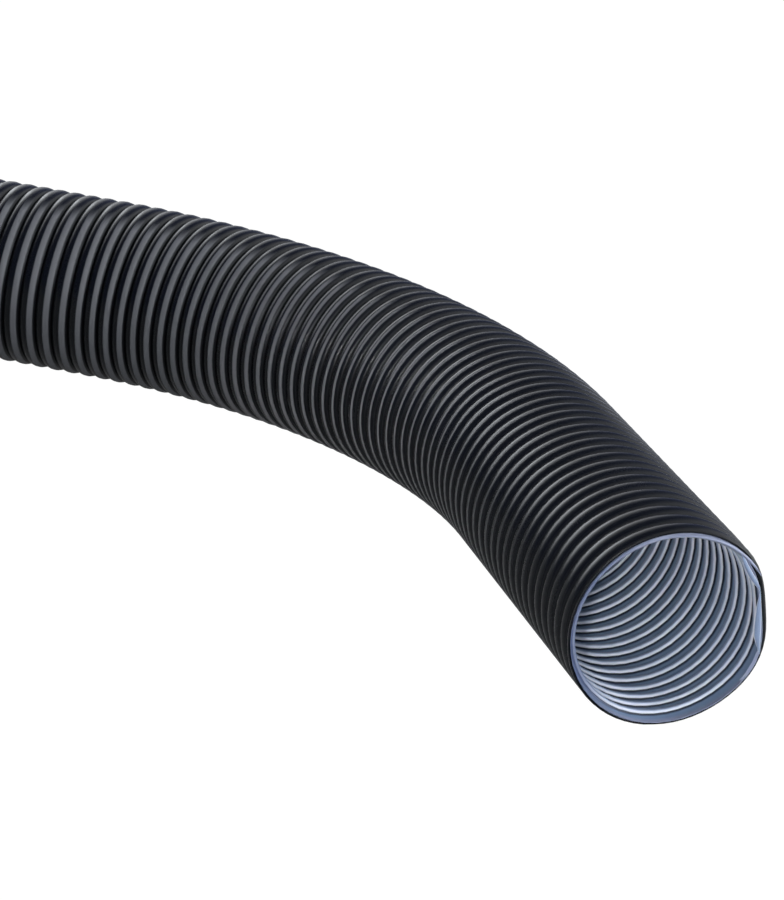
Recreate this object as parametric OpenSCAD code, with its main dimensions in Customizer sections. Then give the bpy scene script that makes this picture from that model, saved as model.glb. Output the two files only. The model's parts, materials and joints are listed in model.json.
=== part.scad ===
// Flexible suction hose, cut square at both ends.
// A smooth liner carries one helix of spring wire, and a cover film arches from turn to turn of the wire.
// Lengths are in millimetres. The bore axis lies in the XY plane, the mouth faces -Y and the hose bends
// towards -X. Cover, wire and liner are split at the same places, before and after the bend.

/* [Wall] */
// Bore of the liner
bore_d = 102; // [75:1:150]
// Thickness of the liner film
liner_wall = 0.6; // [0.4:0.1:1.2]
// Diameter of the spring wire
wire_d = 1.2; // [0.8:0.1:2]
// Thickness of the cover film
cover_wall = 1; // [0.8:0.1:1.6]
// Height of a rib above the valleys beside it
rib_h = 2.4; // [1.5:0.1:4]
// Distance from one rib to the next
pitch = 11; // [8:0.5:16]
// Clearance between two layers of the wall
layer_gap = 0.15; // [0.1:0.05:0.4]
// Depth of the flat that each rib lies on
flat_depth = 0.5; // [0.3:0.1:0.6]

/* [Zones] */
// Least straight length behind the mouth
mouth_l = 220; // [130:1:400]
// Least length of the bend, along the bore axis
bend_l = 396; // [250:1:800]
// Angle of the bend
bend_angle = 58; // [10:1:80]
// Least straight length at the feed end
feed_l = 187; // [130:1:600]

/* [Colours] */
// Colour of the cover
cover_colour = "#16191c"; // [#16191c:black, #3a3f44:grey]
// Colour of the wire
wire_colour = "#b8bcc2"; // [#b8bcc2:steel, #c8a25a:brassed]
// Colour of the liner
liner_colour = "#5f6f84"; // [#5f6f84:slate blue, #20252c:black]

/* [Hidden] */

// The cover and the wire have this many sides to a turn, and one side lies flat underneath.
sides = 12;
side_a = 360 / sides;
// A side's middle lies at this share of its corners' radius.
flatness = cos(side_a / 2);

// The layers from the bore outwards; radii of the wire and the cover are those of the corners.
liner_r = bore_d / 2 + liner_wall;
wire_r = (liner_r + layer_gap) / flatness + wire_d / 2;
valley_r = wire_r + wire_d / 2 + layer_gap + cover_wall;
crest_r = valley_r + rib_h;
flat_r = crest_r - flat_depth / flatness;
// Half the width of a rib's flat
flat_half = pitch / 2 * (crest_r - flat_r) / rib_h;
// The wire's centre stops this far inside the cut ends.
wire_inset = wire_d / 2 + layer_gap;

// Each zone has whole turns: mouth, bend, feed.
zone_turns = [for (l = [mouth_l, bend_l, feed_l]) ceil(l / pitch)];
function turns_before(zone) = zone == 0 ? 0 : turns_before(zone - 1) + zone_turns[zone - 1];
all_turns = turns_before(len(zone_turns));
hose_l = pitch * all_turns;

// Route: the heading and the place of the bore axis at length s from the mouth
bend_start = pitch * turns_before(1);
bend_end = pitch * turns_before(2);
bend_r = (bend_end - bend_start) / (bend_angle * PI / 180);
function heading(s) = bend_angle * min(max((s - bend_start) / (bend_end - bend_start), 0), 1);
function axis_point(s) =
    let (a = heading(s), run = max(s - bend_end, 0))
    [
        bend_r * (cos(a) - 1) - run * sin(a),
        min(s, bend_start) + bend_r * sin(a) + run * cos(a),
        0
    ];

// A point at length s, at angle a round the bore from the outside of the bend upwards, and at radius r
function wall_point(s, a, r) =
    let (h = heading(s))
    axis_point(s) + r * [cos(a) * cos(h), cos(a) * sin(h), sin(a)];

// Corner j of a turn; the helix is left-handed, so length grows with the angle.
function corner_a(j) = side_a * (j % sides + 0.5);
function lies_on_floor(j) = abs(corner_a(j) - 270) < side_a;

// Radius of the ribs' outer face on corner j at length s, a zigzag from valley to crest
function rib_r(s, j) =
    let (turn = s / pitch - j / sides)
    crest_r - 2 * rib_h * abs(turn - floor(turn) - 0.5);

// A film's lines along the hose come in threes: a valley and the two edges of a crest's flat, which
// lie on each other away from the floor. Each line's corners stop at the zone's ends.
function line_s(line, j, first_turn, end_turn, half) =
    let (
        turn = first_turn - 1 + floor(line / 3) + j / sides,
        edge = [0, pitch / 2 - half, pitch / 2 + half][line % 3]
    )
    min(max(pitch * turn + edge, pitch * first_turn), pitch * end_turn);

function outer_point(line, j, first_turn, end_turn) =
    let (
        floored = lies_on_floor(j),
        s = line_s(line, j, first_turn, end_turn, floored ? flat_half : 0)
    )
    wall_point(s, corner_a(j), min(rib_r(s, j), floored ? flat_r : crest_r));

function inner_point(line, j, first_turn, end_turn) =
    let (s = line_s(line, j, first_turn, end_turn, 0))
    wall_point(s, corner_a(j), rib_r(s, j) - cover_wall);

// Past the last corner of a line comes the first corner of the line a turn further on.
function grid_index(line, j) = (line + 3 * floor(j / sides)) * sides + j % sides;

function halves(q) = [[q[0], q[1], q[2]], [q[0], q[2], q[3]]];
function is_triangle(t, points) =
    points[t[0]] != points[t[1]] && points[t[1]] != points[t[2]] && points[t[2]] != points[t[0]];

// The ribbed film of one zone, closed by a flat ring at each end
module ribbed_film(zone) {
    first_turn = turns_before(zone);
    end_turn = first_turn + zone_turns[zone];
    rows = 3 * (zone_turns[zone] + 1);
    lines = rows + 4;
    last = sides - 1;
    inside = lines * sides;
    points = [
        for (line = [0:lines - 1], j = [0:last]) outer_point(line, j, first_turn, end_turn),
        for (line = [0:lines - 1], j = [0:last]) inner_point(line, j, first_turn, end_turn)
    ];
    quads = [
        for (line = [0:rows - 1], j = [0:last])
            let (
                a = grid_index(line, j),
                b = grid_index(line, j + 1),
                c = grid_index(line + 1, j + 1),
                d = grid_index(line + 1, j)
            )
            each [[a, b, c, d], [inside + a, inside + d, inside + c, inside + b]],
        for (j = [0:last])
            let (
                a = grid_index(0, j),
                b = grid_index(0, j + 1),
                c = grid_index(rows, j + 1),
                d = grid_index(rows, j)
            )
            each [[b, a, inside + a, inside + b], [c, inside + c, inside + d, d]]
    ];
    triangles = [for (q = quads) each halves(q)];
    polyhedron(points, [for (t = triangles) if (is_triangle(t, points)) t]);
}

// Corner of the wire's square section, at step k of the helix; between two steps it lies on the side.
wire_section = [[1, 0], [0, 1], [-1, 0], [0, -1]] * wire_d / 2;
function wire_step(k, edge) =
    wall_point(pitch * k / sides + edge[1], corner_a(k), wire_r + edge[0]);
function wire_point(k, edge) =
    let (low = floor(k), share = k - low)
    share == 0 ? wire_step(low, edge) : (1 - share) * wire_step(low, edge) + share * wire_step(low + 1, edge);

// Steps of the wire in one zone; at the hose's cut ends it stops inside the wall.
function wire_steps(zone) =
    let (
        inset = wire_inset / pitch * sides,
        from = sides * turns_before(zone) + (zone == 0 ? inset : 0),
        to = sides * turns_before(zone + 1) - (zone == len(zone_turns) - 1 ? inset : 0)
    )
    [from, for (k = [floor(from) + 1:ceil(to) - 1]) k, to];

module wire_helix(zone) {
    steps = wire_steps(zone);
    corners = len(wire_section);
    last = corners * (len(steps) - 1);
    points = [for (k = steps, edge = wire_section) wire_point(k, edge)];
    quads = [
        for (i = [0:len(steps) - 2], c = [0:corners - 1])
            let (next = (c + 1) % corners, here = corners * i, ahead = here + corners)
            [here + c, ahead + c, ahead + next, here + next],
        [0, 1, 2, 3],
        [last + 3, last + 2, last + 1, last]
    ];
    polyhedron(points, [for (q = quads) each halves(q)]);
}

// The wire's least gap to its next turn
turn_gaps = [
    for (k = [0:sides * (all_turns - 1)])
        norm(wire_point(k, [0, 0]) - wire_point(k + sides, [0, 0])) - wire_d
];
echo(least_gap_between_turns_of_the_wire = min(turn_gaps));

module liner_ring() {
    difference() {
        circle(r = liner_r, $fn = 96);
        circle(d = bore_d, $fn = 96);
    }
}

module straight_liner(from, to) {
    translate(axis_point(from))
        rotate([-90, 0, heading(from)])
            linear_extrude(to - from)
                liner_ring();
}

module bent_liner() {
    translate([-bend_r, bend_start, 0])
        rotate_extrude(angle = bend_angle, $fn = 360)
            translate([bend_r, 0])
                liner_ring();
}

module cover_mouth() { color(cover_colour) ribbed_film(0); }
module cover_bend() { color(cover_colour) ribbed_film(1); }
module cover_feed() { color(cover_colour) ribbed_film(2); }

module wire_mouth() { color(wire_colour) wire_helix(0); }
module wire_bend() { color(wire_colour) wire_helix(1); }
module wire_feed() { color(wire_colour) wire_helix(2); }

module liner_mouth() { color(liner_colour) straight_liner(0, bend_start); }
module liner_bend() { color(liner_colour) bent_liner(); }
module liner_feed() { color(liner_colour) straight_liner(bend_end, hose_l); }

cover_mouth();
cover_bend();
cover_feed();
wire_mouth();
wire_bend();
wire_feed();
liner_mouth();
liner_bend();
liner_feed();

// Places that the joint and the mounts use
echo(bend_pivot = axis_point(bend_start) + [0, bend_r * tan(bend_angle / 2), 0]);
echo(feed_face = axis_point(hose_l), feed_axis = [-sin(bend_angle), cos(bend_angle), 0]);
echo(zone_lengths = pitch * zone_turns, hose_length = hose_l, turns = all_turns, bend_radius = bend_r);
echo(floor_height = -flat_r * flatness, crest_diameter = 2 * crest_r);
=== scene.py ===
import json
import math

import bpy
from mathutils import Euler, Matrix, Vector, noise


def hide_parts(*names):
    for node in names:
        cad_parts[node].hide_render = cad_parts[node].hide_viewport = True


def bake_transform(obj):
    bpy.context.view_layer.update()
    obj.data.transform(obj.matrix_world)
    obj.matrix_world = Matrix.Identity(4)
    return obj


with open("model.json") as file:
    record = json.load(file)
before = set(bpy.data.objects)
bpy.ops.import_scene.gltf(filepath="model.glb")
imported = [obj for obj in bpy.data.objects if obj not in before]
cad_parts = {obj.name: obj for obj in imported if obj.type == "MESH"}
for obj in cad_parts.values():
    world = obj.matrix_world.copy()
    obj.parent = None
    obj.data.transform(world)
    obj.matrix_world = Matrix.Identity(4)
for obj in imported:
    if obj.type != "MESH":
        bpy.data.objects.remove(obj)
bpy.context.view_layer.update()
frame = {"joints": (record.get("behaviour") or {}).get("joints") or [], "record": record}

bpy.ops.object.select_all(action="DESELECT")

# ------------------------------------------------------------------ sizes, in metres
# The route comes from the record: a straight mouth, an arc round the joint, a straight feed end.
MOUNTS = {mount["name"]: mount for mount in frame["record"]["mounts"]}
MOUTH, FEED = MOUNTS["mouth_bore"], MOUNTS["feed_bore"]
JOINT = frame["joints"][0]
BORE_R = MOUTH["dims"]["r_mm"] / 1000
MOUTH_L = MOUTH["dims"]["length_mm"] / 1000
FEED_L = FEED["dims"]["length_mm"] / 1000
BEND_ANGLE = math.atan2(-FEED["axis"][0], FEED["axis"][1])
BEND_R = (JOINT["pos_m"][1] - MOUTH_L) / math.tan(BEND_ANGLE / 2)
BEND_L = BEND_R * BEND_ANGLE
HOSE_L = MOUTH_L + BEND_L + FEED_L

# The wall, from the outside inwards. Every layer follows one left-handed helix. The wire runs under the
# cover's valleys, and the liner is drawn round it on the inside.
PITCH = 0.011
TURNS = round(HOSE_L / PITCH)
HELIX_START = math.radians(15)
CREST_R = 0.0575
RIB_H = 0.0031
# How far a rib's arch turns on each side, from the crest to the valley
FLANK = math.radians(80)
RIB_STEPS = 10
COVER_FILM = 0.0008
LINER_FILM = 0.0005
PLAY = 0.0001
WIRE_D = 0.0012
WIRE_R = CREST_R - RIB_H - COVER_FILM - PLAY - WIRE_D / 2
# The wire stops this far inside the cut ends.
WIRE_INSET = WIRE_D
# Radius of the liner's outer face under the wire
UNDER_WIRE = WIRE_R - WIRE_D / 2 - PLAY
# That face's line over half a pitch, in millimetres: (along the hose, height above that radius)
LINER_HALF = [(0, 0), (0.62, 0.1), (1.08, 0.6), (1.06, 1.2), (0.86, 1.7), (1.25, 2.35), (2.8, 2.85)]
# The radii between which the liner's finish changes
LINER_IN = UNDER_WIRE - LINER_FILM
LINER_OUT = LINER_IN + 0.0035
# The cover is flat underneath, where it lies on the floor.
FLAT_DEPTH = 0.0005
FLOOR_Z = FLAT_DEPTH - CREST_R
# Sides to a turn
COVER_SIDES, LINER_SIDES, WIRE_SIDES = 64, 48, 48
# The windings start this many turns before the mouth, and the cuts take off what is over.
LEAD_TURNS = 2
LEAD_IN = LEAD_TURNS * PITCH
# Corners nearer to each other than this are one.
SAME_PLACE = 1e-6

# The ribs stray by about this much along the hose, and not at all at the cut ends.
STRAY = 0.0007
STRAY_EASE = 0.02
# Steps of their straying in a metre, across and along the hose
STRAY_ACROSS, STRAY_ALONG = 6, 22

# The mouth was cut by hand: the cut leans (its slope to the right and upwards), the wall beside it is
# pressed in on the right, and the liner is flared. Each fades out over its reach behind the cut.
CUT_LEAN = (-0.011, -0.062)
CUT_REACH = 0.05
# (middle in degrees round the bore, width in degrees, depth)
DENTS = [(12, 24, 0.0042), (-60, 35, 0.0011)]
DENT_REACH = 0.03
FLARE = 0.001
FLARE_REACH = 0.006

# Three strips of loose film on the cut: a brim folded back over it at the top, and two lips that stand in
# from it on the right. Each is two lines of (degrees round the bore, radius in millimetres).
UPPER_LIP = [
    [(56, 54.4), (50, 52.8), (45, 51.6), (38, 50.9), (32, 50.9), (28, 50.8), (25, 50.4)],
    [(56, 54.4), (49, 50.6), (44, 49.0), (38, 48.3), (33, 48.7), (28, 49.8), (25, 50.4)],
]
LOWER_LIP = [
    [(25.5, 50.5), (18, 49.4), (10, 49.0), (2, 49.3), (-6, 50.3), (-12, 51.9), (-17, 53.8)],
    [(25.5, 50.5), (18, 47.3), (10, 45.8), (2, 45.4), (-5, 46.4), (-11, 49.2), (-17, 53.8)],
]
BRIM = [
    [(100, 54.3), (88, 54.6), (76, 54.7), (64, 54.7), (54, 54.6), (44, 54.5), (34, 54.2)],
    [(100, 54.2), (88, 53.6), (76, 53.1), (64, 53.0), (54, 53.0), (44, 53.3), (34, 54.1)],
]
LIP_FILM = 0.0003
LIP_BELLY = 0.001
# Where the strips lie on the liner's map: their pale edges, and the film between
LIP_EDGE_U, LIP_FILM_U = 0.3, 0.0

# Camera
CAMERA_AT = Vector((-0.6996, -1.5964, 0.7237))
CAMERA_HEADING = math.radians(71.46)
CAMERA_DOWN = math.radians(20.27)
CAMERA_ROLL = math.radians(6.13)
CAMERA_LENS = 143.93


# ------------------------------------------------------------------ route
def heading(s):
    """The route's turn at length s from the mouth."""
    return BEND_ANGLE * min(max((s - MOUTH_L) / BEND_L, 0), 1)


def on_route(x, s, z):
    """The place of a point of the straight hose, x to the right and z up, at length s from the mouth."""
    turn = heading(s)
    run = max(s - MOUTH_L - BEND_L, 0)
    reach = BEND_R + x
    return Vector((
        reach * math.cos(turn) - BEND_R - run * math.sin(turn),
        min(s, MOUTH_L) + reach * math.sin(turn) + run * math.cos(turn),
        z,
    ))


def unevenness(x, s, z):
    """How far the ribs stray along the hose from an even pitch; nothing at the two cut ends."""
    ends = min(s / STRAY_EASE, (HOSE_L - s) / STRAY_EASE, 1)
    place = Vector((x * STRAY_ACROSS, s * STRAY_ALONG, z * STRAY_ACROSS))
    return STRAY * max(ends, 0) * noise.noise(place)


def fading(s, reach):
    """1 at the mouth, smooth down to 0 at that length behind it."""
    share = min(max(s / reach, 0), 1)
    return 1 - share * share * (3 - 2 * share)


def cut_lean(x, z):
    """How far the leaning cut lies from the square one."""
    return CUT_LEAN[0] * x + CUT_LEAN[1] * z


def pressed(x, s, z, flare):
    """A point of the straight hose, moved as the hand-cut mouth moves it, and flared at the cut."""
    angle = math.degrees(math.atan2(z, x))
    dent = sum(depth * math.exp(-(((angle - at) / width) ** 2)) for at, width, depth in DENTS)
    radius = math.hypot(x, z)
    share = 1 + (flare * fading(s, FLARE_REACH) - dent * fading(s, DENT_REACH)) / radius
    return x * share, s + cut_lean(x, z) * fading(s, CUT_REACH), z * share


# ------------------------------------------------------------------ camera
camera_data = bpy.data.cameras.new("camera")
camera_data.lens = CAMERA_LENS
camera_data.sensor_width = 36
camera_data.clip_end = 50
camera = bpy.data.objects.new("camera", camera_data)
camera.location = CAMERA_AT
level = Euler((math.pi / 2 - CAMERA_DOWN, 0, CAMERA_HEADING - math.pi / 2)).to_matrix()
camera.rotation_euler = (level @ Matrix.Rotation(CAMERA_ROLL, 3, "Z")).to_euler()
bpy.context.collection.objects.link(camera)
bpy.context.scene.camera = camera


# ------------------------------------------------------------------ modelling
def profile(name, points):
    """A line of edges through points (along the hose, radius), drawn by extruding one vertex."""
    first = Vector((points[0][1], points[0][0] - LEAD_IN, 0))
    bpy.ops.mesh.primitive_plane_add(size=0.001, location=first)
    line = bpy.context.object
    line.name = line.data.name = name
    bpy.ops.object.transform_apply(location=True, rotation=False, scale=False)
    bpy.ops.object.mode_set(mode="EDIT")
    bpy.ops.mesh.select_all(action="SELECT")
    bpy.ops.mesh.merge(type="CENTER")
    for (s0, r0), (s1, r1) in zip(points, points[1:]):
        bpy.ops.mesh.extrude_region_move(TRANSFORM_OT_translate={"value": (r1 - r0, s1 - s0, 0)})
    bpy.ops.object.mode_set(mode="OBJECT")
    return line


def modifier(piece, kind, **settings):
    """Adds a modifier with its settings and applies it."""
    made = piece.modifiers.new(kind.lower(), kind)
    for key, value in settings.items():
        setattr(made, key, value)
    bpy.ops.object.modifier_apply(modifier=made.name)


def edit_all(operator, **settings):
    """Runs a mesh operator on the whole of the active piece."""
    bpy.ops.object.mode_set(mode="EDIT")
    bpy.ops.mesh.select_all(action="SELECT")
    operator(**settings)
    bpy.ops.object.mode_set(mode="OBJECT")


def cut_square(s, outwards):
    """Cuts the active piece, while it is straight, at length s and closes the cut."""
    edit_all(
        bpy.ops.mesh.bisect, plane_co=(0, s, 0), plane_no=(0, outwards, 0), use_fill=True,
        clear_outer=True, threshold=SAME_PLACE,
    )


def face_outwards():
    """Joins the active piece's corners that lie on each other and turns its faces outwards."""
    edit_all(bpy.ops.mesh.remove_doubles, threshold=SAME_PLACE)
    edit_all(bpy.ops.mesh.normals_make_consistent, inside=False)


def turn_about_bore(piece, angle):
    """Turns the mesh about the Y axis, from +X towards +Z."""
    for vertex in piece.data.vertices:
        x, y, z = vertex.co
        vertex.co = (
            x * math.cos(angle) - z * math.sin(angle),
            y,
            x * math.sin(angle) + z * math.cos(angle),
        )


def away_from_bore(piece):
    """Above 0 where an open tube's faces look away from the bore."""
    return sum(
        face.area * (face.normal.x * face.center.x + face.normal.z * face.center.z)
        for face in piece.data.polygons
    )


def add_helix_map(piece):
    """A UV map: the turn round the bore, and the length in shares of the hose."""
    mesh = piece.data
    layer = mesh.uv_layers.new(name="helix").data
    for face in mesh.polygons:
        first = None
        for loop in face.loop_indices:
            x, s, z = mesh.vertices[mesh.loops[loop].vertex_index].co
            turn = (math.atan2(z, x) - HELIX_START) / math.tau
            if first is None:
                first = turn
            turn -= round(turn - first)
            layer[loop].uv = (turn + 1, s / HOSE_L)


def add_wall_map(piece):
    """A UV map: the place between the liner's two radii, and the length in shares of the hose."""
    mesh = piece.data
    layer = mesh.uv_layers.new(name="wall").data
    for loop in mesh.loops:
        x, s, z = mesh.vertices[loop.vertex_index].co
        layer[loop.index].uv = ((math.hypot(x, z) - LINER_IN) / (LINER_OUT - LINER_IN), s / HOSE_L)


def lay_on_route(piece, flare=0.0):
    """Bends the straight piece along the route, with stray ribs and a hand-cut mouth."""
    for vertex in piece.data.vertices:
        x, s, z = vertex.co
        x, s, z = pressed(x, s + unevenness(x, s, z), z, flare)
        vertex.co = on_route(x, s, z)
    piece.data.update()


def wound(name, points, sides, film, flat_below=None):
    """A straight film of one profile a pitch, wound along the helix and cut square at both ends."""
    piece = profile(name, points)
    modifier(
        piece, "ARRAY", count=TURNS + LEAD_TURNS + 1, use_relative_offset=False,
        use_constant_offset=True, constant_offset_displace=(0, PITCH, 0), use_merge_vertices=True,
        merge_threshold=SAME_PLACE,
    )
    modifier(
        piece, "SCREW", axis="Y", angle=-math.tau, screw_offset=PITCH, steps=sides, render_steps=sides,
        use_merge_vertices=False, use_normal_calculate=True,
    )
    face_outwards()
    if away_from_bore(piece) < 0:
        edit_all(bpy.ops.mesh.flip_normals)
    turn_about_bore(piece, HELIX_START)
    if flat_below is not None:
        for vertex in piece.data.vertices:
            vertex.co.z = max(vertex.co.z, flat_below)
    modifier(piece, "SOLIDIFY", thickness=film, offset=-1, use_even_offset=False)
    cut_square(0, -1)
    cut_square(HOSE_L, 1)
    face_outwards()
    return piece


def rib_point(a):
    """(along, radius) on a rib's arch, from the valley before it, at -FLANK, to the next one, at FLANK."""
    along = PITCH / 2 * (1 + math.sin(a) / math.sin(FLANK))
    return along, CREST_R - RIB_H * (1 - math.cos(a)) / (1 - math.cos(FLANK))


def cover_points():
    """The cover's outer face: one rib, from valley to valley."""
    return [rib_point(FLANK * (2 * i / RIB_STEPS - 1)) for i in range(RIB_STEPS + 1)]


def liner_points():
    """The liner's outer face: round the wire, in under it on both sides, and flat to the next wire."""
    half = [(along / 1000, UNDER_WIRE + rise / 1000) for along, rise in LINER_HALF]
    return half + [(PITCH - along, radius) for along, radius in reversed(half)]


def on_curve(points, share):
    """A point of the smooth line through points, at that share of its length."""
    at = share * (len(points) - 1)
    i = min(int(at), len(points) - 2)
    nearest = [min(max(k, 0), len(points) - 1) for k in range(i - 1, i + 3)]
    before, start, end, after = [Vector(points[k]) for k in nearest]
    u = at - i
    return start + 0.5 * u * (
        end - before
        + u * (2 * before - 5 * start + 4 * end - after + u * (3 * (start - end) + after - before))
    )


def make_lip(name, edges, length):
    """A strip of film between two lines on the cut, bellied out of the mouth, with the liner's finish at
    that length and pale edges."""
    bpy.ops.mesh.primitive_grid_add(x_subdivisions=32, y_subdivisions=8, size=1)
    piece = bpy.context.object
    piece.name = piece.data.name = name
    layer = piece.data.uv_layers.new(name="wall").data
    for loop in piece.data.loops:
        on_edge = abs(piece.data.vertices[loop.vertex_index].co.y) > 0.49
        layer[loop.index].uv = (LIP_EDGE_U if on_edge else LIP_FILM_U, length)
    for vertex in piece.data.vertices:
        u, across = vertex.co.x + 0.5, vertex.co.y + 0.5
        angle, radius = on_curve(edges[0], u).lerp(on_curve(edges[1], u), across)
        x = radius / 1000 * math.cos(math.radians(angle))
        z = radius / 1000 * math.sin(math.radians(angle))
        belly = LIP_BELLY * math.sin(math.pi * across) * math.sin(math.pi * u)
        vertex.co = (x, cut_lean(x, z) - LIP_FILM - belly, z)
    modifier(piece, "SOLIDIFY", thickness=LIP_FILM, offset=0)
    face_outwards()
    return piece


def make_wire():
    """The spring wire, straight: one unbroken helix under the valleys, which stops inside the cut ends."""
    bpy.ops.mesh.primitive_circle_add(vertices=6, radius=WIRE_D / 2, location=(WIRE_R, -LEAD_IN, 0))
    piece = bpy.context.object
    piece.name = piece.data.name = "wire"
    bpy.ops.object.transform_apply(location=True, rotation=False, scale=False)
    modifier(
        piece, "SCREW", axis="Y", angle=-math.tau, screw_offset=PITCH, iterations=TURNS + 2 * LEAD_TURNS,
        steps=WIRE_SIDES, render_steps=WIRE_SIDES, use_merge_vertices=False, use_normal_calculate=True,
    )
    turn_about_bore(piece, HELIX_START)
    cut_square(WIRE_INSET, -1)
    cut_square(HOSE_L - WIRE_INSET, 1)
    face_outwards()
    return piece


cover = wound("cover", cover_points(), COVER_SIDES, COVER_FILM, FLOOR_Z)
add_helix_map(cover)
lay_on_route(cover)

liner = wound("liner", liner_points(), LINER_SIDES, LINER_FILM)
add_wall_map(liner)
lay_on_route(liner, FLARE)

# The lips have the finish of the hose's middle, and the brim that of the cut.
lips = [
    make_lip("upper_lip", UPPER_LIP, 0.5),
    make_lip("lower_lip", LOWER_LIP, 0.5),
    make_lip("brim", BRIM, 0.0),
]
bpy.ops.object.select_all(action="DESELECT")
for piece in [*lips, liner]:
    piece.select_set(True)
bpy.context.view_layer.objects.active = liner
bpy.ops.object.join()

wire = make_wire()
add_helix_map(wire)
lay_on_route(wire)


# ------------------------------------------------------------------ node trees
# Depth of the films' grain
GRAIN_DEPTH = 0.0002


class Socket:
    """A node's output in a Python expression."""

    def __init__(self, nodes, out):
        self.nodes, self.out = nodes, out

    def maths(self, operation, *others):
        return self.nodes.maths(operation, self, *others)

    def __add__(self, other):
        return self.maths("ADD", other)

    __radd__ = __add__

    def __sub__(self, other):
        return self.maths("SUBTRACT", other)

    def __rsub__(self, other):
        return self.nodes.maths("SUBTRACT", other, self)

    def __mul__(self, other):
        return self.maths("MULTIPLY", other)


class Nodes:
    """A material's or a world's node tree, and the calls that add to it."""

    def __init__(self, owner):
        owner.use_nodes = True
        self.tree = owner.node_tree
        self.tree.nodes.clear()

    def add(self, kind, inputs=None, out=0, **settings):
        """A new node's output. Its inputs are sockets or constants, by name or number."""
        node = self.tree.nodes.new(kind)
        for key, value in settings.items():
            setattr(node, key, value)
        for key, value in (inputs or {}).items():
            if isinstance(value, Socket):
                self.tree.links.new(value.out, node.inputs[key])
            else:
                node.inputs[key].default_value = value
        return Socket(self, node.outputs[out]) if node.outputs else None

    def maths(self, operation, *values):
        return self.add("ShaderNodeMath", dict(enumerate(values)), operation=operation)

    def smooth(self, value, low, high):
        """0 below low, 1 above high, and smooth between them."""
        inputs = {0: value, 1: low, 2: high, 3: 0.0, 4: 1.0}
        return self.add("ShaderNodeMapRange", inputs, interpolation_type="SMOOTHSTEP")

    def blend(self, share, first, second):
        """A mix of two colours."""
        return self.add("ShaderNodeMix", {0: share, 6: first, 7: second}, out=2, data_type="RGBA")

    def ramp(self, value, stops):
        """A colour by value, blended between stops of (value, colour)."""
        made = self.add("ShaderNodeValToRGB", {0: value})
        elements = made.out.node.color_ramp.elements
        while len(elements) < len(stops):
            elements.new(1)
        for element, (place, shade) in zip(elements, stops):
            element.position = place
            element.color = shade
        return made

    def noise(self, place, scale, detail=2.0, roughness=0.5):
        inputs = {"Vector": place, "Scale": scale, "Detail": detail, "Roughness": roughness}
        return self.add("ShaderNodeTexNoise", inputs)

    def place(self):
        """The place on the object, or the way that is looked in the world."""
        return self.add("ShaderNodeTexCoord", out=3)

    def uv(self, name):
        return self.add("ShaderNodeUVMap", uv_map=name)

    def dot(self, first, second):
        """The dot product of two vectors."""
        return self.add("ShaderNodeVectorMath", {0: first, 1: second}, out=1, operation="DOT_PRODUCT")

    def split(self, vector):
        """A vector's three coordinates."""
        node = self.add("ShaderNodeSeparateXYZ", {0: vector}).out.node
        return [Socket(self, out) for out in node.outputs]

    def rays(self):
        """Three sockets, each 1 for its kind of ray: from the camera, off gloss, through glass."""
        outputs = self.add("ShaderNodeLightPath").out.node.outputs
        return [Socket(self, outputs[f"Is {kind} Ray"]) for kind in ("Camera", "Glossy", "Transmission")]

    def bump(self, height, strength):
        return self.add("ShaderNodeBump", {"Height": height, "Strength": strength, "Distance": GRAIN_DEPTH})

    def mix(self, share, first, second):
        """A mix of two shaders."""
        return self.add("ShaderNodeMixShader", {0: share, 1: first, 2: second})

    def surface(self, inputs):
        """A Principled surface on the material's output."""
        made = self.add("ShaderNodeBsdfPrincipled", inputs)
        self.add("ShaderNodeOutputMaterial", {"Surface": made})


def colour(red, green, blue):
    """A linear colour from the 0 to 255 values of a swatch."""
    linear = [((v / 255 + 0.055) / 1.055) ** 2.4 if v > 10 else v / 255 / 12.92 for v in (red, green, blue)]
    return (*linear, 1)


# ------------------------------------------------------------------ materials
# Faces that meet at less than this angle are shaded as one.
SMOOTH_UNDER = math.radians(50)

COVER_BLACKS = colour(15, 17, 20), colour(23, 25, 30)
# The paler colour is a painted sheen on the ribs' mouth-facing flank.
COVER_PAINTED_SHEEN = colour(138, 137, 140)
# Painted shade for the valleys
VALLEY_PAINTED_SHADE = colour(8, 8, 10)
# Steps of clouds and grain in a metre
COVER_CLOUDS, COVER_GRAIN = 26.0, 1400.0
# Painted shade: the valleys are painted darker, and that fades out between these shares of a pitch from the
# middle of a valley.
VALLEY = (0.02, 0.16)
# Painted sheen: the mouth side of the ribs is painted paler, as a side light would light it. The sheen comes
# and goes between these shares of a pitch, and on the far part, which begins between these shares of the
# length, it comes that much earlier.
SHEEN_COMES, SHEEN_GOES = (0.3, 0.4), (0.43, 0.53)
SHEEN_EARLIER = 0.2
FAR_PART = (0.4, 0.7)
# It sets in behind the mouth between these shares of the length, and fades out at the top between
# these heights.
SHEEN_SETS_IN = (0.05, 0.4)
SHEEN_TOP = (0.05, 0.0565)


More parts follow.
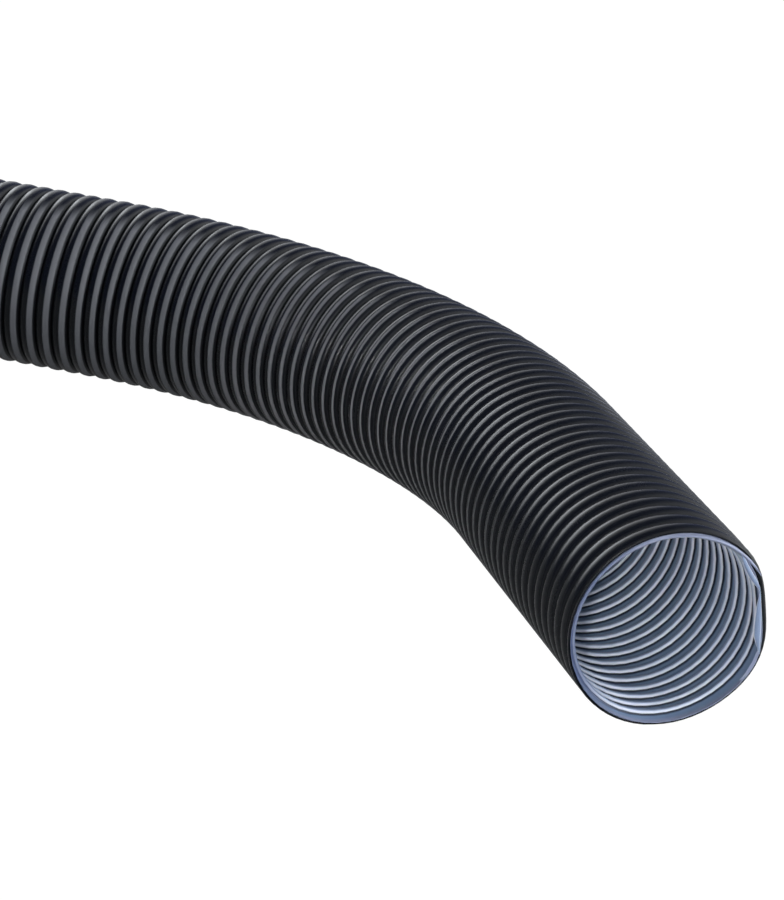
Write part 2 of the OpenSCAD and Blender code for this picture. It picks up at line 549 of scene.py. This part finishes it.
def cover_finish():
    """Satin black film: faint clouds, a fine grain, a painted sheen on the mouth-facing flank of the ribs,
    and painted shade in the valleys, which are also rougher.
    """
    material = bpy.data.materials.new("satin_black_film")
    nodes = Nodes(material)
    place = nodes.place()
    height = nodes.split(place)[2]
    turn, length, _ = nodes.split(nodes.uv("helix"))
    # 0 to 1 along each pitch, starting over the wire
    phase = (length * float(TURNS) - turn + 2.0).maths("FRACT")
    valley = 1 - nodes.smooth(phase.maths("PINGPONG", 0.5), *VALLEY)
    cloud = nodes.noise(place, COVER_CLOUDS, 3.0)
    grain = nodes.noise(place, COVER_GRAIN, 2.0, 0.6)
    far = nodes.smooth(length, *FAR_PART)
    # Painted sheen: the mouth-facing flank of each rib is painted paler, as a side light would light it, and
    # fades out at the top.
    flank = nodes.smooth(phase + far * SHEEN_EARLIER, *SHEEN_COMES) - nodes.smooth(phase, *SHEEN_GOES)
    sides = 1 - nodes.smooth(height, *SHEEN_TOP)
    painted_sheen = flank * (nodes.smooth(length, *SHEEN_SETS_IN) * sides * (0.8 + cloud * 0.4))
    film = nodes.blend(cloud, *COVER_BLACKS)
    film = nodes.blend(painted_sheen, film, COVER_PAINTED_SHEEN)
    # Painted shade: the valleys are darkened.
    film = nodes.blend(valley * 0.7, film, VALLEY_PAINTED_SHADE)
    nodes.surface({
        "Base Color": film,
        "Roughness": 0.22 + cloud * 0.06 + grain * 0.03 + valley * 0.15 + painted_sheen * 0.15,
        "Specular IOR Level": 0.2,
        "Normal": nodes.bump(grain, 0.12),
    })
    return material


# Swatches of the liner by radius in millimetres, from the top of a ridge down into the arch behind it:
# slate-blue film, a painted highlight, nearly white, on the ridge's flank over the wire, and painted shade,
# nearly black, in the crease beside it
LINER_SLATE_AND_PAINTED_LIGHT = [
    (51.7, (134, 150, 178)), (52.0, (190, 200, 220)), (52.4, (228, 231, 240)), (53.25, (238, 239, 244)),
    (53.4, (80, 84, 98)), (53.5, (12, 12, 16)), (54.22, (14, 15, 20)), (54.4, (88, 106, 132)),
    (54.52, (118, 140, 168)), (55.2, (122, 144, 172)),
]
LINER_CLOUD = colour(112, 124, 158)
LINER_CUT = colour(140, 146, 170)
# Painted shade for the left of the bore near the mouth
LINER_LEFT_SHADE = colour(84, 96, 128)
LINER_CLOUDS, LINER_GRAIN = 40.0, 900.0
# The colour of the cut fades out between these shares of the length.
CUT_ENDS = (0.001, 0.005)
# Painted shade: the film is painted darker on the left near the mouth, where the rim shades the bore. That
# fades out between these places to the right, and between these shares of the length.
LEFT_SHADE_SIDE = (-0.048, -0.01)
LEFT_SHADE_FADE = (0.02, 0.16)


def liner_finish():
    """Glossy slate-blue film, with a painted highlight where it is drawn over the wire, painted shade in the
    crease beside it, and painted shade on the left near the mouth.
    """
    material = bpy.data.materials.new("slate_blue_film")
    nodes = Nodes(material)
    place = nodes.place()
    side = nodes.split(place)[0]
    wall, length, _ = nodes.split(nodes.uv("wall"))
    cloud = nodes.noise(place, LINER_CLOUDS)
    grain = nodes.noise(place, LINER_GRAIN)
    cut = 1 - nodes.smooth(length, *CUT_ENDS)
    # Painted shade on the left near the mouth
    left_shade = (1 - nodes.smooth(side, *LEFT_SHADE_SIDE)) * (1 - nodes.smooth(length, *LEFT_SHADE_FADE))
    # Painted highlight on the ridges, painted shade in the creases beside them
    film = nodes.ramp(wall, [
        (min((radius / 1000 - LINER_IN) / (LINER_OUT - LINER_IN), 1), colour(*swatch))
        for radius, swatch in LINER_SLATE_AND_PAINTED_LIGHT
    ])
    film = nodes.blend(cloud * 0.12, film, LINER_CLOUD)
    film = nodes.blend(cut, film, LINER_CUT)
    film = nodes.blend(left_shade * 0.85, film, LINER_LEFT_SHADE)
    nodes.surface({
        "Base Color": film,
        "Roughness": 0.26 + cloud * 0.08,
        "Specular IOR Level": 0.35,
        "Coat Weight": 0.1,
        "Coat Roughness": 0.1,
        "Normal": nodes.bump(grain, 0.05),
    })
    return material


WIRE_STEELS = colour(150, 153, 158), colour(196, 199, 204)
WIRE_STREAKS = 600.0


def wire_finish():
    """Drawn spring steel with a fine, cloudy grain."""
    material = bpy.data.materials.new("drawn_spring_steel")
    nodes = Nodes(material)
    streaks = nodes.noise(nodes.place(), WIRE_STREAKS, 3.0)
    steel = nodes.blend(streaks, *WIRE_STEELS)
    nodes.surface({"Base Color": steel, "Metallic": 1.0, "Roughness": 0.28 + streaks * 0.15})
    return material


def finish_with(piece, material):
    """Gives a piece its material and its slot, and shades it."""
    piece.data.materials.clear()
    piece.data.materials.append(material)
    bpy.ops.object.select_all(action="DESELECT")
    piece.select_set(True)
    bpy.context.view_layer.objects.active = piece
    bpy.ops.object.shade_smooth_by_angle(angle=SMOOTH_UNDER)


finish_with(cover, cover_finish())
finish_with(liner, liner_finish())
finish_with(wire, wire_finish())


# ------------------------------------------------------------------ the record's parts hidden, the pieces' transforms baked
bend_from = on_route(0, MOUTH_L, 0)
bend_to = on_route(0, MOUTH_L + BEND_L, 0)
for piece in (cover, liner, wire):
    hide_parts(*[f"{piece.name}_{zone}" for zone in ("mouth", "bend", "feed")])
    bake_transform(piece)

steps = 80
-BORE_R / 2
[on_route(0, HOSE_L * i / steps, 0) for i in range(steps + 1)]


# ------------------------------------------------------------------ floor and world
FLOOR_SIZE = 12
FLOOR_AT = (0, 2, FLOOR_Z)
FLOOR_GREY = 0.55
# Strength of the floor's white glow, how much of it the camera sees, and how much gloss and glass show
GLOW, GLOW_SEEN, GLOW_MIRRORED = 1.1, 0.92, 0.12
# Pale screens round the studio: the way to the middle, and the cosines from it where a screen starts and
# where it is whole
SCREENS = [((0.8, -0.6, 0.0), -0.05, 0.45), ((-0.3, 0.93, 0.2), 0.7, 0.95)]

bpy.ops.mesh.primitive_plane_add(size=FLOOR_SIZE, location=FLOOR_AT)
floor = bpy.context.object
floor.name = "floor"
bpy.ops.object.transform_apply(location=True, rotation=False, scale=False)
floor_material = bpy.data.materials.new("white_floor")
nodes = Nodes(floor_material)
lit = nodes.add("ShaderNodeBsdfDiffuse", {"Color": (FLOOR_GREY, FLOOR_GREY, FLOOR_GREY, 1)})
glow = nodes.add("ShaderNodeEmission", {"Color": (1, 1, 1, 1), "Strength": GLOW})
camera_rays, glossy_rays, clear_rays = nodes.rays()
share = camera_rays * GLOW_SEEN + glossy_rays.maths("MAXIMUM", clear_rays) * GLOW_MIRRORED
nodes.add("ShaderNodeOutputMaterial", {"Surface": nodes.mix(share, lit, glow)})
floor.data.materials.append(floor_material)

# The camera sees a white world, and gloss shows a studio of pale screens and dark cloth.
world = bpy.data.worlds.new("studio")
bpy.context.scene.world = world
nodes = Nodes(world)
fill = nodes.add("ShaderNodeBackground", {"Color": (0.8, 0.9, 1, 1), "Strength": 0.14})
cloth = nodes.add("ShaderNodeBackground", {"Color": (0.4, 0.5, 1, 1), "Strength": 0.25})
screens = nodes.add("ShaderNodeBackground", {"Color": (0.95, 0.97, 1, 1), "Strength": 1.6})
white = nodes.add("ShaderNodeBackground", {"Color": (1, 1, 1, 1), "Strength": 1.0})
place = nodes.place()
right, behind = [nodes.smooth(nodes.dot(place, middle), start, whole) for middle, start, whole in SCREENS]
studio = nodes.mix(right.maths("MAXIMUM", behind), cloth, screens)
camera_rays, glossy_rays, clear_rays = nodes.rays()
unseen = nodes.mix(glossy_rays, fill, studio)
seen = nodes.mix(camera_rays.maths("MAXIMUM", clear_rays), unseen, white)
nodes.add("ShaderNodeOutputWorld", {"Surface": seen})


# ------------------------------------------------------------------ lamps
LAMP_COLOUR = (0.88, 0.94, 1)
# (name, place, width, height, radiance)
SOFTBOXES = [
    ("key", (2.6, -1.1, 0.95), 3.2, 1.8, 5.2),
    ("front", (-0.4, -2.4, 1.2), 1.4, 1.4, 3.0),
    ("back", (-0.75, 2.1, 0.6), 1.5, 0.9, 2.4),
]
# A narrow lamp lights the bore through the mouth: its place, and what it points at.
INTO_BORE_AT = (-1.0, -2.2, 0.8)
INTO_BORE_TO = Vector((0.025, 0.02, -0.01))


def hang(lamp, place, target):
    """Puts a lamp at a place, turned to the target."""
    thing = bpy.data.objects.new(lamp.name, lamp)
    thing.location = place
    thing.rotation_euler = (thing.location - target).to_track_quat("Z", "Y").to_euler()
    bpy.context.collection.objects.link(thing)


for name, place, width, height, radiance in SOFTBOXES:
    softbox = bpy.data.lights.new(name, "AREA")
    softbox.shape = "RECTANGLE"
    softbox.size, softbox.size_y = width, height
    softbox.energy = radiance * math.pi * width * height
    softbox.color = LAMP_COLOUR
    hang(softbox, place, on_route(0, HOSE_L / 2, 0))

into_bore = bpy.data.lights.new("into_bore", "SPOT")
into_bore.energy = 1650
into_bore.shadow_soft_size = 0.3
into_bore.spot_size = math.radians(3.5)
into_bore.spot_blend = 0.35
hang(into_bore, INTO_BORE_AT, INTO_BORE_TO)

bpy.context.scene.view_settings.view_transform = "Standard"
